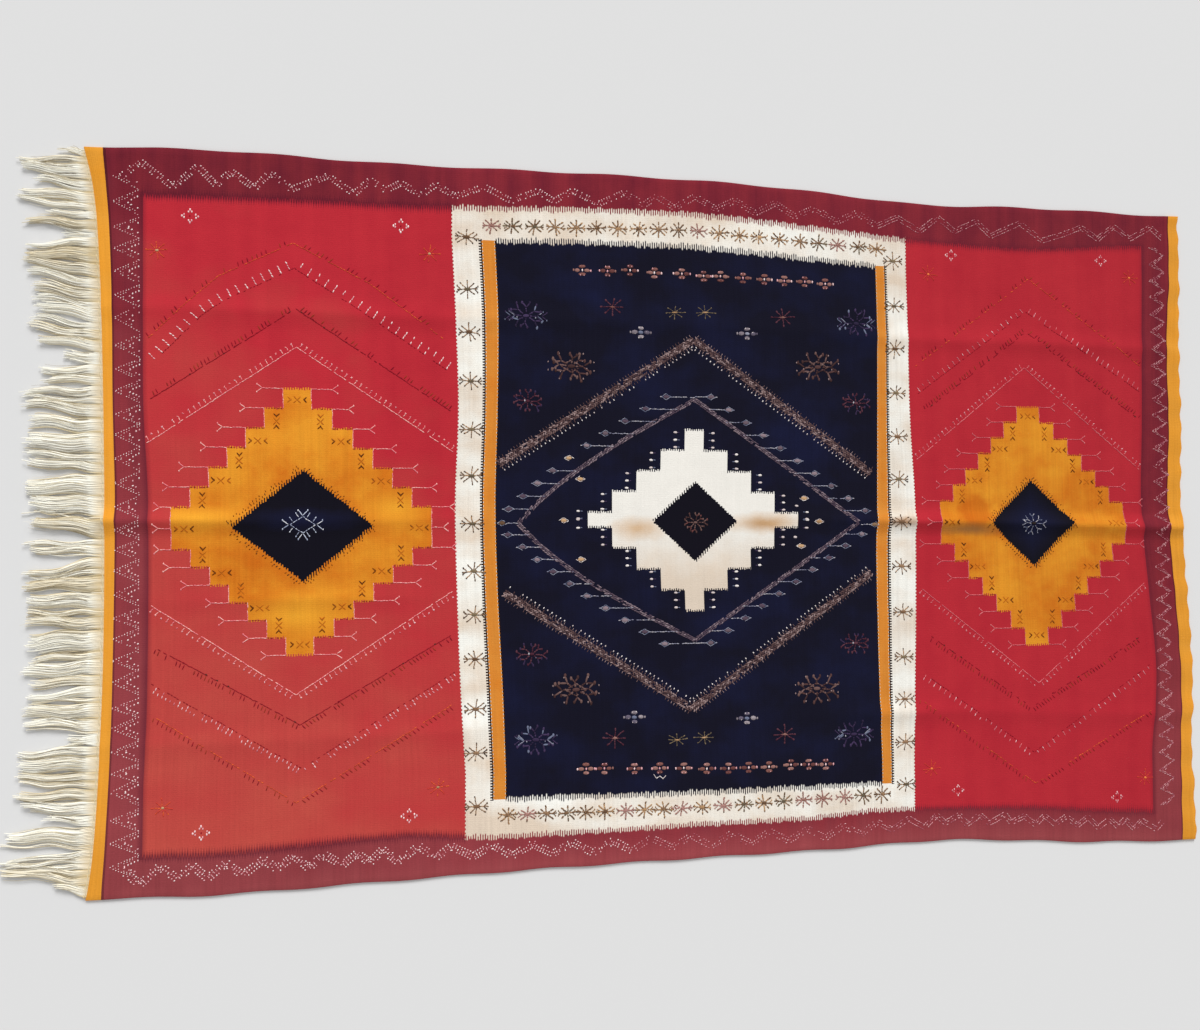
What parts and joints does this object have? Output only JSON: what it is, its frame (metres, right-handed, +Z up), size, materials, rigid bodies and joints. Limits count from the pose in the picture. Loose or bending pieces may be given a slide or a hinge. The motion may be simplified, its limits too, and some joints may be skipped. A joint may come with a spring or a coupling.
{
  "type": "berber rug",
  "caption": "Flat-woven wool rug with panels, stepped medallions and fine stitched motifs, lying flat with a long warp fringe at one end.",
  "frame": {"origin": "on the floor, under the middle of the woven cloth", "axes": "+X along the warps away from the fringed end, +Y across the rug along the wefts, +Z up out of the floor"},
  "size_m": [2.6428, 1.5164, 0.014],
  "materials": {
    "flat_woven_wool": "matt hand-spun wool, dyed red, burgundy, navy, ochre yellow and undyed white",
    "warp_yarn": "matt undyed cream wool yarn",
    "pattern_wool": "fine raised pattern yarn in pale pink, white, brown, orange and black"
  },
  "bodies": {
    "root": {"woven_cloth": "flat_woven_wool", "warp_fringe": "warp_yarn"}
  },
  "joints": []
}
